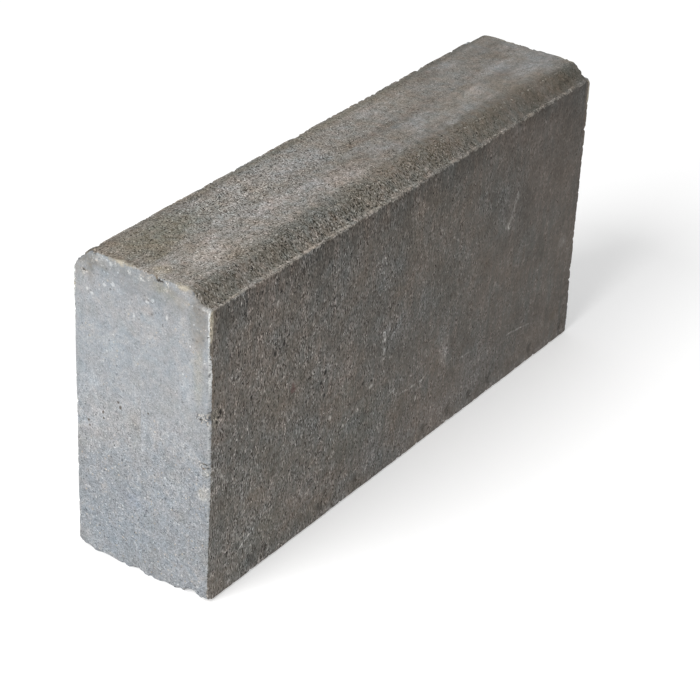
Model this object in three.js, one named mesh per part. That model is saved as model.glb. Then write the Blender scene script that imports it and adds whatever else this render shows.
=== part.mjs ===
// A straight kerb stone, pressed from earth-moist concrete as one piece.
//
// Millimetres, +Z up. The origin is the middle of the underside. X runs along the kerb,
// and -Y is the face that looks at the road.
//
// The stone is one loft: its upright section is drawn once, from sharp corners that are
// then rounded, and is set back into the stone step by step to ease the edges of both ends.
import * as THREE from "three";

// Overall size
const LENGTH = 500;
const WIDTH = 120;
const HEIGHT = 250;

// Top edges: a sloping chamfer that stops on a narrow level ledge, alike on both long sides
const LEDGE_WIDTH = 5;
const LEDGE_DROP = 11;
const CHAMFER_RUN = 11.5;

// Roundings of the section
const SHOULDER_RADIUS = 10; // top to chamfer
const CHAMFER_FOOT_RADIUS = 1.5; // chamfer to ledge, the only inner corner
const LEDGE_LIP_RADIUS = 1.5; // ledge to side
const BASE_RADIUS = 2.5; // side to underside

// Eased edge round each end face
const END_ARRIS = 2;

// Facets
const ARC_STEP = THREE.MathUtils.degToRad(9);
const ARRIS_STEPS = 4;
const SHARPEST_RADIUS = 0.2;

const CONCRETE = { color: 0x8f8d88, roughness: 0.95, metalness: 0 };

// The section's sharp corners as { at, radius }, anticlockwise when seen from +X.
function sectionCorners() {
  const side = WIDTH / 2;
  const ledge = HEIGHT - LEDGE_DROP;
  const chamferFoot = side - LEDGE_WIDTH;
  const chamferHead = chamferFoot - CHAMFER_RUN;
  const back = [
    { at: [side, 0], radius: BASE_RADIUS },
    { at: [side, ledge], radius: LEDGE_LIP_RADIUS },
    { at: [chamferFoot, ledge], radius: CHAMFER_FOOT_RADIUS },
    { at: [chamferHead, HEIGHT], radius: SHOULDER_RADIUS },
  ];
  const road = back.map(({ at: [y, z], radius }) => ({ at: [-y, z], radius }));
  return [...back, ...road.reverse()].map(({ at, radius }) => ({
    at: new THREE.Vector2(...at),
    radius,
  }));
}

// The normal that points to the left of a direction: into an anticlockwise outline.
function leftOf(direction) {
  return new THREE.Vector2(-direction.y, direction.x);
}

// The directions in which an outline runs into and out of its corner number i.
function directionsAt(points, i) {
  const before = points[(i + points.length - 1) % points.length];
  const after = points[(i + 1) % points.length];
  return {
    into: points[i].clone().sub(before).normalize(),
    outOf: after.clone().sub(points[i]).normalize(),
  };
}

// Each corner moved so that every side of the outline lies setBack further in.
function setBackCorners(points, setBack) {
  return points.map((point, i) => {
    const { into, outOf } = directionsAt(points, i);
    const inward = leftOf(into).add(leftOf(outOf));
    const reach = 1 + leftOf(into).dot(leftOf(outOf));
    return point.clone().addScaledVector(inward, setBack / reach);
  });
}

// The arc that rounds corner number i. An outer corner's radius shrinks as the outline is
// set back and an inner corner's grows, and each is limited by half its shorter side.
function cornerArc(points, i, radius, setBack) {
  const { into, outOf } = directionsAt(points, i);
  const turn = Math.atan2(into.cross(outOf), into.dot(outOf));
  const outer = Math.sign(turn);
  const halfTan = Math.tan(Math.abs(turn) / 2);
  const before = points[(i + points.length - 1) % points.length];
  const after = points[(i + 1) % points.length];
  const shorterSide = Math.min(points[i].distanceTo(before), points[i].distanceTo(after));
  const wanted = Math.max(radius - outer * setBack, SHARPEST_RADIUS);
  const size = Math.min(wanted, shorterSide / 2 / halfTan);

  const start = points[i].clone().addScaledVector(into, -size * halfTan);
  const spoke = leftOf(into).multiplyScalar(outer * size);
  const centre = start.clone().add(spoke);
  const steps = Math.max(1, Math.round(Math.abs(turn) / ARC_STEP));
  return Array.from({ length: steps + 1 }, (_, step) =>
    start.clone().rotateAround(centre, (turn * step) / steps),
  );
}

// The rounded section, set back evenly by setBack.
function sectionOutline(setBack) {
  const corners = sectionCorners();
  const points = setBackCorners(
    corners.map((corner) => corner.at),
    setBack,
  );
  return corners.flatMap((corner, i) => cornerArc(points, i, corner.radius, setBack));
}

// The stations of the loft from end to end: where each lies along X, and its outline.
function loftStations() {
  const nearEnd = Array.from({ length: ARRIS_STEPS + 1 }, (_, step) => {
    const angle = ((Math.PI / 2) * step) / ARRIS_STEPS;
    return {
      x: -LENGTH / 2 + END_ARRIS * (1 - Math.cos(angle)),
      outline: sectionOutline(END_ARRIS * (1 - Math.sin(angle))),
    };
  });
  const farEnd = nearEnd.map(({ x, outline }) => ({ x: -x, outline })).reverse();
  return [...nearEnd, ...farEnd];
}

// A closed solid whose skin joins each station's outline to the next one's.
function loft(stations) {
  const count = stations[0].outline.length;
  const positions = stations.flatMap(({ x, outline }) =>
    outline.flatMap(({ x: y, y: z }) => [x, y, z]),
  );
  const faces = [];
  for (let station = 0; station + 1 < stations.length; station += 1) {
    for (let i = 0; i < count; i += 1) {
      const here = station * count + i;
      const next = station * count + ((i + 1) % count);
      faces.push(here, next, next + count, here, next + count, here + count);
    }
  }
  const last = (stations.length - 1) * count;
  const cap = THREE.ShapeUtils.triangulateShape(stations[0].outline, []);
  for (const [a, b, c] of cap) {
    faces.push(a, c, b, last + a, last + b, last + c);
  }
  const geometry = new THREE.BufferGeometry();
  geometry.setAttribute("position", new THREE.Float32BufferAttribute(positions, 3));
  geometry.setIndex(faces);
  const faceted = geometry.toNonIndexed();
  faceted.computeVertexNormals();
  return faceted;
}

const kerbStone = new THREE.Mesh(
  loft(loftStations()),
  new THREE.MeshStandardMaterial(CONCRETE),
);
kerbStone.name = "kerb_stone";

const kerb = new THREE.Group();
kerb.name = "kerb";
kerb.add(kerbStone);

export default kerb;
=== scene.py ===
"""Weathered kerb stone: a modelled, chipped and worn stone of procedural pressed concrete."""

from math import atan2, radians, tan

import bmesh
import bpy
import numpy as np
from mathutils import Euler, Matrix, Vector


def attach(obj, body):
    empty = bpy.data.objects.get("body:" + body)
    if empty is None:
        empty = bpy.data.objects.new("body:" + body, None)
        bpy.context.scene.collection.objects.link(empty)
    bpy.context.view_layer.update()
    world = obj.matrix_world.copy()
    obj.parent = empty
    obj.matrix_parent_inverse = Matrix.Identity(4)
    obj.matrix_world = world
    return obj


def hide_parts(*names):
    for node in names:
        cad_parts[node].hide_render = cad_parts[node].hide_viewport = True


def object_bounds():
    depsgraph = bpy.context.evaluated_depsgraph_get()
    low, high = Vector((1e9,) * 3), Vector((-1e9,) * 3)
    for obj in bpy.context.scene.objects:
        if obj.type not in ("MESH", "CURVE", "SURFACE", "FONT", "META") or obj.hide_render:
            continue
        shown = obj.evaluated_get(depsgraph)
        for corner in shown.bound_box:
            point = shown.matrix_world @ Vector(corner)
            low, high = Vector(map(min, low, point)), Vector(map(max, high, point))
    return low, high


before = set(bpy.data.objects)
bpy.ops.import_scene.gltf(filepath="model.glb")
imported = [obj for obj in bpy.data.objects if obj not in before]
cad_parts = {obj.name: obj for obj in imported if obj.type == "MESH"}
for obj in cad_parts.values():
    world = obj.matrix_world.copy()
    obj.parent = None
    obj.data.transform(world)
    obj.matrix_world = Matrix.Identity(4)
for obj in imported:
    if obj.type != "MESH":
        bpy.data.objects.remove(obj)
cad_low, cad_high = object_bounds()

MM = 0.001
NODE = "kerb_stone"

# The stone's own sizes, in metres: the box from the frame, the section as it is cast.
LENGTH = cad_high.x - cad_low.x
WIDTH = cad_high.y - cad_low.y
HEIGHT = cad_high.z - cad_low.z
LEDGE_WIDTH = 5 * MM
LEDGE_DROP = 11 * MM
CHAMFER_RUN = 11.5 * MM
SHOULDER_RADIUS = 10 * MM
LIP_RADIUS = 1.2 * MM
BASE_RADIUS = 1.0 * MM
END_ARRIS = 0.8 * MM

HALF_LENGTH = LENGTH / 2
HALF_WIDTH = WIDTH / 2
LEDGE_HEIGHT = HEIGHT - LEDGE_DROP
CHAMFER_FOOT = HALF_WIDTH - LEDGE_WIDTH
CHAMFER_HEAD = CHAMFER_FOOT - CHAMFER_RUN
CHAMFER_TURN = atan2(LEDGE_DROP, CHAMFER_RUN)

# How finely the worn skin is modelled
VOXEL = 1.25 * MM
MOST_TRIANGLES = 190_000

# Spalls knocked out of the stone: middle and half sizes in millimetres, and any turns about X and Z
# in degrees
SPALLS = [
    # near end, top edge: the hole of a plucked pebble and the shallow hollow round it
    ((-250.3, -17, 246.5), (3, 2.9, 1.2), 8, 0),
    ((-251.2, -13.5, 250), (3.4, 6.5, 2.6), 0, -8),
    ((-252, 5, 251), (4, 9, 2.6)),
    # near end, the ledge's corner at the back worn round, and the one at the front nicked
    ((-252, 63, 242), (9, 8, 11.5)),
    ((-245, 60, 241.8), (15, 6.5, 5)),
    ((-252, 56, 246), (7.5, 6.8, 6)),
    ((-251.5, -61.2, 240.4), (4, 2.4, 3), 40, 0),
    # near end, road-side upright edge
    ((-247, -61.4, 155.5), (11, 4.2, 4.6), 0, 8),
    ((-252, -54.5, 153), (4.2, 9, 5), 12, 0),
    ((-251.6, -60.2, 112), (4, 4.6, 3.6)),
    ((-251.6, -61.2, 28), (2.8, 3, 6), 0, 15),
    # near end, back upright edge
    ((-251.4, 61.4, 40), (3.6, 2.6, 6)),
    ((-251.4, 61.6, 97), (3.6, 2.8, 5)),
    ((-251.4, 61.4, 138), (3.4, 2.6, 3)),
    ((-251.4, 61.6, 221), (3.4, 2.6, 6)),
    # near end, foot: the back corner, the long shallow wear and the bite by the road-side corner
    ((-252, 63, -3), (8.5, 12, 10.5)),
    ((-252, 51, -2), (8, 6, 5.5)),
    ((-253, 33, -1.6), (7, 20, 3.4)),
    ((-252.5, 17, -1.6), (6.5, 3.5, 4.6)),
    ((-253, 5, -1.8), (8, 9, 5.2)),
    ((-253, -22, -1.6), (7, 7, 4.4)),
    ((-252.5, -33.5, -1.5), (7, 5, 5.5)),
    ((-251.5, -45, -0.6), (10, 9.5, 6.8)),
    ((-251, -56, -1.5), (10, 7, 5.4), 0, 20),
    # far end, road side
    ((252.5, -62.5, -4), (7, 6, 7.5)),
    ((252, -61.8, 240), (6, 5, 6)),
    ((251.2, 20, 251.5), (3, 9, 2.4)),
    # back
    ((120, 61.5, 240.5), (12, 3, 2.6), 0, 8),
    ((-60, 61.8, -1), (16, 4.5, 4.5), 0, -6),
    ((250.5, 61, 70), (3.5, 3.5, 9), 0, 20),
]

# Shallow dents in the road face, a little above its foot: X of the middle and half sizes
DENTS = [
    (-197, 3.2, 5.0), (-184, 3.6, 4.6), (-113, 4.0, 4.4), (-68, 2.6, 3.4),
    (27, 3.4, 4.2), (62, 3.8, 5.2), (93, 2.8, 3.6), (123, 3.6, 4.4),
    (188, 4.0, 4.6), (238, 3.6, 5.4),
]
DENT_HEIGHT, DENT_DEPTH, DENT_SPREAD = 12, 1.1, 1.4

# How rough the broken faces are
BREAK_SIZE = 4 * MM
BREAK_DEPTH = 2.5 * MM

# Camera, as placed for the three-quarter view from above the near end
CAMERA_PLACE = (-1.26727, -0.85319, 0.97054)
CAMERA_RIGHT = (0.57640, -0.81610, 0.04174)
CAMERA_FORWARD = (0.71640, 0.48009, -0.50624)
LENS = 116.1


def use(piece):
    """Makes one object the only selected and the active one."""
    bpy.ops.object.select_all(action="DESELECT")
    piece.select_set(True)
    bpy.context.view_layer.objects.active = piece


def pick(kind, wanted):
    """In edit mode, selects just the faces or edges that the test wants, given their middle."""
    mesh = bmesh.from_edit_mesh(bpy.context.object.data)
    bpy.ops.mesh.select_mode(type=kind)
    bpy.ops.mesh.select_all(action="DESELECT")
    parts = {"FACE": mesh.faces, "EDGE": mesh.edges}[kind]
    for part in parts:
        middle = sum((corner.co for corner in part.verts), Vector()) / len(part.verts)
        part.select_set(wanted(middle, part))
    bmesh.update_edit_mesh(bpy.context.object.data)


def apply_modifier(piece, name, kind, **settings):
    """Gives a piece a modifier with these settings and applies it."""
    use(piece)
    modifier = piece.modifiers.new(name, kind)
    for setting, value in settings.items():
        setattr(modifier, setting, value)
    bpy.ops.object.modifier_apply(modifier=modifier.name)


def near(a, b, slack=0.05 * MM):
    return abs(a - b) < slack


def runs_along(edge):
    """True for an edge that runs the length of the stone."""
    return abs(edge.verts[0].co.x - edge.verts[1].co.x) > HALF_LENGTH


# ---- the stone's form


def sharp_stone():
    """A sharp-edged block cut into strips, the middle one drawn up into the chamfered top."""
    bpy.ops.mesh.primitive_cube_add(size=1, location=(0, 0, LEDGE_HEIGHT / 2))
    stone = bpy.context.object
    stone.name = "weathered_kerb"
    stone.scale = (LENGTH, WIDTH, LEDGE_HEIGHT)
    bpy.ops.object.transform_apply(location=True, rotation=True, scale=True)
    bpy.ops.object.mode_set(mode="EDIT")
    for side in (-1, 1):
        bpy.ops.mesh.select_all(action="SELECT")
        bpy.ops.mesh.bisect(plane_co=(0, side * CHAMFER_FOOT, 0), plane_no=(0, 1, 0))
    pick("FACE", lambda middle, face: near(middle.z, LEDGE_HEIGHT) and near(middle.y, 0))
    bpy.ops.mesh.extrude_region_move(TRANSFORM_OT_translate={"value": (0, 0, LEDGE_DROP)})
    bpy.ops.transform.resize(value=(1, CHAMFER_HEAD / CHAMFER_FOOT, 1))
    bpy.ops.mesh.select_all(action="SELECT")
    bpy.ops.mesh.dissolve_limited(angle_limit=radians(1))
    bpy.ops.object.mode_set(mode="OBJECT")
    return stone


def round_edges():
    """Rounds the long edges by their own radii, then eases the edges round both ends."""

    def long_edges(y, z):
        return lambda middle, edge: (
            runs_along(edge) and near(abs(middle.y), y) and near(middle.z, z)
        )

    roundings = [
        (long_edges(CHAMFER_HEAD, HEIGHT), SHOULDER_RADIUS * tan(CHAMFER_TURN / 2), 5),
        (long_edges(HALF_WIDTH, LEDGE_HEIGHT), LIP_RADIUS, 2),
        (long_edges(HALF_WIDTH, 0), BASE_RADIUS, 3),
        (lambda middle, edge: near(abs(middle.x), HALF_LENGTH), END_ARRIS, 2),
    ]
    bpy.ops.object.mode_set(mode="EDIT")
    for wanted, offset, segments in roundings:
        pick("EDGE", wanted)
        bpy.ops.mesh.bevel(offset=offset, segments=segments, affect="EDGES")
    bpy.ops.object.mode_set(mode="OBJECT")


def lens(place, half_sizes, turn_x=0, turn_z=0):
    """A lens-shaped cutter; place and half sizes in millimetres, turns about X and Z in degrees."""
    bpy.ops.mesh.primitive_ico_sphere_add(subdivisions=4, radius=1)
    cutter = bpy.context.object
    cutter.scale = [half * MM for half in half_sizes]
    cutter.rotation_euler = Euler((radians(turn_x), 0, radians(turn_z)))
    cutter.location = Vector(place) * MM
    bpy.ops.object.transform_apply(location=True, rotation=True, scale=True)
    return cutter


def knock_out_spalls(stone):
    """Cuts a rough lens out of the stone at each spall, and a smooth shallow one at each dent."""
    cutters = []
    broken = bpy.data.textures.new("broken_face", "CLOUDS")
    broken.noise_scale = BREAK_SIZE
    for place, half_sizes, *turns in SPALLS:
        cutter = lens(place, half_sizes, *turns)
        rough = {"texture": broken, "texture_coords": "GLOBAL", "strength": BREAK_DEPTH}
        apply_modifier(cutter, "broken", "DISPLACE", **rough)
        cutters.append(cutter)
    face = HALF_WIDTH / MM
    for x, half_x, half_z in DENTS:
        place = (x, -face - DENT_DEPTH, DENT_HEIGHT)
        half_sizes = (half_x * DENT_SPREAD, 2 * DENT_DEPTH, half_z * DENT_SPREAD)
        cutters.append(lens(place, half_sizes))
    use(cutters[0])
    for cutter in cutters:
        cutter.select_set(True)
    bpy.ops.object.join()
    cutter = bpy.context.object
    cut = {"operation": "DIFFERENCE", "solver": "EXACT", "use_self": True, "object": cutter}
    apply_modifier(stone, "spalls", "BOOLEAN", **cut)
    bpy.data.objects.remove(cutter)


# ---- node helpers


# The node trees in the order they are begun: every helper below adds to the last one.
TREES = []


def begin(tree):
    """Begins a node tree, and returns it."""
    TREES.append(tree)
    return tree


def add(kind, inputs=(), **settings):
    """Adds a node to the tree begun last. Each input is a value or another node's output socket."""
    tree = TREES[-1]
    node = tree.nodes.new(kind)
    for name, value in settings.items():
        setattr(node, name, value)
    for name, value in dict(inputs).items():
        if isinstance(value, bpy.types.NodeSocket):
            tree.links.new(value, node.inputs[name])
        else:
            node.inputs[name].default_value = value
    return node


def maths(operation, a, b=0.0, c=0.0):
    return add("ShaderNodeMath", {0: a, 1: b, 2: c}, operation=operation).outputs[0]


def times(a, b):
    return maths("MULTIPLY", a, b)


def plus(a, b):
    return maths("ADD", a, b)


def minus(a, b):
    return maths("SUBTRACT", a, b)


def larger(a, b):
    """The larger of two values."""
    return maths("MAXIMUM", a, b)


def times_plus(a, b, c):
    """The first two values' product, plus the third."""
    return maths("MULTIPLY_ADD", a, b, c)


def vector_maths(operation, a, b=(0, 0, 0)):
    node = add("ShaderNodeVectorMath", {0: a, 1: b}, operation=operation)
    scalar = operation in ("LENGTH", "DOT_PRODUCT")
    return node.outputs["Value" if scalar else "Vector"]


def scaled(vector, factor):
    """A vector or colour times one value."""
    node = add("ShaderNodeVectorMath", {0: vector, "Scale": factor}, operation="SCALE")
    return node.outputs["Vector"]


def parted(vector):
    """The three parts of a vector."""
    return add("ShaderNodeSeparateXYZ", {0: vector}).outputs


def joined(x, y=0.0, z=0.0):
    """A vector of three values."""
    return add("ShaderNodeCombineXYZ", {0: x, 1: y, 2: z}).outputs[0]


def ramp(value, start, end, low, high, kind="LINEAR"):
    """Low where value is at start, high where it is at end, and no further either way."""
    inputs = {"Value": value, "From Min": start, "From Max": end, "To Min": low, "To Max": high}
    return add("ShaderNodeMapRange", inputs, interpolation_type=kind).outputs["Result"]


def fade(value, start, end, low=0.0, high=1.0):
    """A smooth step: low where value is at start, high where it is at end."""
    return ramp(value, start, end, low, high, "SMOOTHSTEP")


def noise(vector, size, detail=2.0, roughness=0.55, dimensions="3D"):
    """Noise of about 0 to 1 whose blotches are size across, in metres."""
    inputs = {"Vector": vector, "Scale": 1 / size, "Detail": detail, "Roughness": roughness}
    node = add("ShaderNodeTexNoise", inputs, noise_dimensions=dimensions)
    return node.outputs[0]


def cells(vector, size, dimensions="3D"):
    """Scattered cells: how far off the nearest middle is, in cell sizes, and each cell's colour."""
    inputs = {"Vector": vector, "Scale": 1 / size}
    node = add("ShaderNodeTexVoronoi", inputs, voronoi_dimensions=dimensions)
    return node.outputs["Distance"], node.outputs["Color"]


def blend(share, first, second):
    """Mixes two values by a share."""
    return add("ShaderNodeMix", {0: share, 2: first, 3: second}).outputs[0]


def total(*parts):
    """A sum of amounts, each given as (value, weight)."""
    result = 0.0
    for value, weight in parts:
        result = times_plus(value, weight, result)
    return result


# ---- wear in the mesh


def wear_tree():
    """Geometry nodes that round and nibble the edges, then press grit and pits into the faces."""
    tree = begin(bpy.data.node_groups.new("wear_and_grit", "GeometryNodeTree"))
    tree.interface.new_socket("Geometry", in_out="INPUT", socket_type="NodeSocketGeometry")
    tree.interface.new_socket("Geometry", in_out="OUTPUT", socket_type="NodeSocketGeometry")
    start = add("NodeGroupInput").outputs[0]
    place = add("GeometryNodeInputPosition").outputs[0]
    normal = add("GeometryNodeInputNormal").outputs[0]

    # Edges: each point is drawn towards its neighbours' mean, far where a bit broke off.
    inputs = {"Value": place, "Iterations": 10}
    blur = add("GeometryNodeBlurAttribute", inputs, data_type="FLOAT_VECTOR").outputs["Value"]
    pull = vector_maths("SUBTRACT", blur, place)
    rounding = fade(noise(place, 24 * MM, 2), 0.4, 0.62, 0.0, 0.4)
    nibbles = fade(noise(place, 5 * MM, 2), 0.51, 0.67, 0.0, 2.2)
    axis = parted(place)
    worn_corner = times(
        fade(axis[0], -HALF_LENGTH + 9 * MM, -HALF_LENGTH + 5 * MM),
        fade(axis[1], -HALF_WIDTH + 9 * MM, -HALF_WIDTH + 5 * MM),
    )
    mid_height = times(fade(axis[2], 15 * MM, 90 * MM), fade(axis[2], 212 * MM, 190 * MM))
    worn_corner = times(worn_corner, mid_height)
    nibbles = times(nibbles, times_plus(worn_corner, -0.45, 1.0))
    share = total((rounding, 1.0), (nibbles, 1.0), (worn_corner, 0.9))
    pulled = scaled(pull, share)
    # The far end swells a little at its foot.
    swollen = times(
        fade(axis[0], HALF_LENGTH - 60 * MM, HALF_LENGTH - 10 * MM, 0.0, 2.0 * MM),
        fade(axis[2], 55 * MM, 10 * MM),
    )
    moved = vector_maths("ADD", pulled, joined(swollen))
    rounded = add("GeometryNodeSetPosition", {"Geometry": start, "Offset": moved}).outputs[0]

    # Faces: how deep the grit is depends on the face, and the bed stays nearly flat.
    along = maths("ABSOLUTE", axis[0])
    on_end = fade(along, HALF_LENGTH - 3 * MM, HALF_LENGTH - 1 * MM)
    on_top = fade(axis[2], LEDGE_HEIGHT - 1.5 * MM, LEDGE_HEIGHT)
    low_down = fade(axis[2], 145 * MM, 85 * MM)
    off_bed = fade(axis[2], 0.2 * MM, 1.5 * MM, 0.25, 1.0)
    grit = times_plus(on_top, 0.09 * MM, 0.10 * MM)
    end_grit = times_plus(low_down, 0.50 * MM, 0.12 * MM)
    grit_depth = blend(on_end, grit, end_grit)

    swell = noise(place, 90 * MM, 1)
    lumps = noise(place, 11 * MM, 2)
    grains = minus(noise(place, 3.2 * MM, 2, 0.7), 0.62)
    far, tint = cells(place, 9 * MM)
    chosen = parted(tint)[0]
    deep = times(fade(far, 0.22, 0.08), fade(chosen, 0.86, 0.90))
    push = total((swell, -0.3 * MM), (lumps, -0.3 * MM), (grains, grit_depth), (deep, -1.0 * MM))
    offset = scaled(normal, times(push, off_bed))
    worn = add("GeometryNodeSetPosition", {"Geometry": rounded, "Offset": offset}).outputs[0]
    add("NodeGroupOutput", {0: worn})
    return tree


def make_stone():
    bpy.ops.object.select_all(action="DESELECT")
    stone = sharp_stone()
    round_edges()
    knock_out_spalls(stone)
    # An even skin of small faces carries the wear and grit, and is then thinned out on the flats.
    apply_modifier(stone, "even_skin", "REMESH", mode="VOXEL", voxel_size=VOXEL, adaptivity=0)
    apply_modifier(stone, "wear", "NODES", node_group=wear_tree())
    triangles = sum(len(face.vertices) - 2 for face in stone.data.polygons)
    apply_modifier(stone, "thin", "DECIMATE", ratio=min(1.0, MOST_TRIANGLES / triangles))
    bpy.ops.object.shade_smooth()
    return stone


# ---- materials

FLOAT, VECTOR = "NodeSocketFloat", "NodeSocketVector"

# The concrete's colours, as linear albedos
SKIN_GREY = (0.268, 0.278, 0.290)
SKIN_LOW_GREY = (0.236, 0.249, 0.264)
SKIN_PALE = (0.330, 0.345, 0.360)
SKIN_BLUE = (0.222, 0.238, 0.262)
SKIN_PINK = (0.300, 0.278, 0.262)
SKIN_BEIGE = (0.310, 0.300, 0.270)
SKIN_DIRTY = (0.172, 0.162, 0.143)
MOULD_GREY = (0.154, 0.140, 0.124)
# The mould face's darkest colour: darker concrete in some marks, and painted shade under the lip,
# in the end's pores and between the grains of broken faces.
MOULD_DARK_AND_SHADE = (0.092, 0.082, 0.071)
MOULD_WARM = (0.168, 0.147, 0.122)
MOULD_PALE = (0.230, 0.212, 0.198)
MOULD_BRIGHT = (0.290, 0.275, 0.260)
SPECK_PALE = (0.400, 0.380, 0.350)
RUST_RED = (0.120, 0.075, 0.066)
RED_BROWN = (0.166, 0.139, 0.120)
GREEN_GREY = (0.133, 0.132, 0.118)
TOP_GREY = (0.240, 0.224, 0.202)
TOP_PALE = (0.345, 0.330, 0.315)
TOP_PINK = (0.350, 0.315, 0.290)
TOP_OLIVE = (0.165, 0.155, 0.122)
TOP_BROWN = (0.178, 0.155, 0.132)
# The chamfers' colours: the top's concrete painted darker, as painted shade on faces turned from
# the light, with warmer patches.
CHAMFER_SHADED_GREY = (0.159, 0.149, 0.129)
CHAMFER_SHADED_WARM = (0.186, 0.164, 0.138)
EARTH_BROWN = (0.150, 0.123, 0.092)
# The lip's beige, partly a painted highlight on the up-facing ledge.
LIP_BEIGE_AND_HIGHLIGHT = (0.318, 0.294, 0.262)
# The arris's pale colour, made brighter as a painted highlight where the edge catches the light.
ARRIS_WHITE_AND_HIGHLIGHT = (0.640, 0.652, 0.640)
ARRIS_BEIGE = (0.420, 0.380, 0.305)
ARRIS_BROWN = (0.245, 0.220, 0.172)
ARRIS_EARTH = (0.185, 0.152, 0.122)
STAIN_BEIGE = (0.340, 0.300, 0.235)
STAIN_OLIVE = (0.235, 0.222, 0.185)
RUST_ORANGE = (0.230, 0.150, 0.085)
PEBBLE_BEIGE = (0.430, 0.410, 0.370)
SHELL_WHITE = (0.520, 0.530, 0.530)
SHELL_TAN = (0.400, 0.350, 0.280)
# A near-black that stands for painted shade inside pits, dents, the chip's crack and the plucked
# pebble's slot.
HOLE_SHADE = (0.030, 0.026, 0.022)
BROKEN_GREY = (0.215, 0.200, 0.170)


def new_group(name, inputs, outputs):
    """Begins a shader node group and returns its inputs, by name."""
    tree = begin(bpy.data.node_groups.new(name, "ShaderNodeTree"))
    for socket, kind in inputs.items():
        tree.interface.new_socket(socket, in_out="INPUT", socket_type=kind)
    for socket, kind in outputs.items():
        tree.interface.new_socket(socket, in_out="OUTPUT", socket_type=kind)
    return add("NodeGroupInput").outputs


def put_out(**sockets):
    """Links a group's results to its outputs, whose names have spaces for underscores."""
    named = {name.replace("_", " "): socket for name, socket in sockets.items()}
    add("NodeGroupOutput", named)


def grouped(group, inputs):
    """Places a node group, by its name, and returns its outputs."""
    return add("ShaderNodeGroup", inputs, node_tree=bpy.data.node_groups[group]).outputs


def mix(share, first, second):
    """Mixes two colours by a share."""
    first, second = (
        (*colour, 1) if isinstance(colour, tuple) else colour for colour in (first, second)
    )
    node = add("ShaderNodeMix", {0: share, 6: first, 7: second}, data_type="RGBA")
    return node.outputs[2]


def layered(colour, *layers):
    """Lays colours over a first one, each given as (share, colour)."""
    for share, tint in layers:
        colour = mix(share, colour, tint)
    return colour


def gritty(colour, tone, grit):
    """A colour under a broad tone, with grit that is half the colour's own and half grey."""
    level = add("ShaderNodeRGBToBW", {0: colour}).outputs[0]
    half = times(grit, 0.5)
    lit = scaled(colour, plus(tone, half))
    lit = vector_maths("ADD", lit, times(half, level))
    return vector_maths("MAXIMUM", lit, (0.018, 0.017, 0.016))


def in_units(place, size):
    """A place counted in units of a size socket."""
    return scaled(place, maths("DIVIDE", 1.0, size))


def sand_group():
    """Salt-and-pepper sand grains: a tone about zero and a height of 0 to 1."""
    inputs = {"Place": VECTOR, "Grain Size": FLOAT}
    given = new_group("sand", inputs, {"Tone": FLOAT, "Height": FLOAT})
    place = in_units(given["Place"], given["Grain Size"])
    distance, tint = cells(place, 1, "2D")
    channels = parted(tint)
    dark = fade(channels[0], 0.11, 0.03)
    light = fade(channels[0], 0.91, 0.98)
    cloud = noise(place, 1.6, 1, 0.6, "2D")
    tone = total(
        (minus(channels[1], 0.5), 1.3),
        (dark, -1.2),
        (light, 1.4),
        (minus(cloud, 0.5), 0.6),
    )
    height = total((distance, -0.5), (cloud, 0.6), (dark, -0.5), (channels[1], 0.3))
    put_out(Tone=tone, Height=height)


def pores_group():
    """Scattered ragged spots, a given share of them holes and as many again pale grains."""
    inputs = {"Place": VECTOR, "Spacing": FLOAT, "Share": FLOAT, "Radius": FLOAT}
    given = new_group("pores", inputs, {"Holes": FLOAT, "Grains": FLOAT, "Tint": FLOAT})
    place = in_units(given["Place"], given["Spacing"])
    distance, tint = cells(place, 1, "2D")
    channels = parted(tint)
    ragged = minus(noise(place, 0.16, 0, 0.5, "2D"), 0.5)
    distance = times_plus(ragged, 0.22, distance)
    radius = times(given["Radius"], fade(channels[1], 0, 1, 0.5, 1.2))
    spot = fade(maths("DIVIDE", distance, radius), 1.0, 0.6)
    hole = maths("LESS_THAN", channels[0], given["Share"])
    grain = maths("GREATER_THAN", channels[0], minus(1.0, given["Share"]))
    put_out(Holes=times(spot, hole), Grains=times(spot, grain), Tint=channels[2])


def mottle_group():
    """Soft blotches of a size: a value from about -1 to 1."""
    given = new_group("mottle", {"Place": VECTOR, "Size": FLOAT}, {"Value": FLOAT})
    cloud = noise(in_units(given["Place"], given["Size"]), 1, 2, 0.55, "2D")
    put_out(Value=times(minus(cloud, 0.5), 3.6))


def make_groups():
    for build in (sand_group, pores_group, mottle_group):
        build()


def mottle(place, size):
    return grouped("mottle", {"Place": place, "Size": size})["Value"]


# Where a soft spot starts and where it is full, in half sizes off its middle
SPOT_RIM, SPOT_CORE, FAR_OFF = 1.15, 0.35, 9.0


def spots(place, marks, wobble):
    """One mask for soft spots, each given as its middle and half sizes in millimetres."""
    reach = FAR_OFF
    for middle, half_size in marks:
        inputs = {
            0: place,
            1: [1 / (half * MM) for half in half_size],
            2: [-at / half for at, half in zip(middle, half_size)],
        }
        off = add("ShaderNodeVectorMath", inputs, operation="MULTIPLY_ADD").outputs["Vector"]
        reach = maths("MINIMUM", vector_maths("LENGTH", off), reach)
    return fade(plus(reach, wobble), SPOT_RIM, SPOT_CORE)


def patch(place, middle, half_size, wobble):
    """The mask for one soft spot."""
    return spots(place, [(middle, half_size)], wobble)


def scratch(place, start, end, width):
    """A thin line; its ends and width are in millimetres."""
    start, run = Vector(start) * MM, (Vector(end) - Vector(start)) * MM
    from_start = vector_maths("SUBTRACT", place, start)
    share = vector_maths("DOT_PRODUCT", from_start, run / run.length_squared)
    share = add("ShaderNodeClamp", {"Value": share}).outputs[0]
    off = vector_maths("SUBTRACT", from_start, scaled(run, share))
    return fade(vector_maths("LENGTH", off), width * MM, 0.3 * width * MM)


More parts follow.
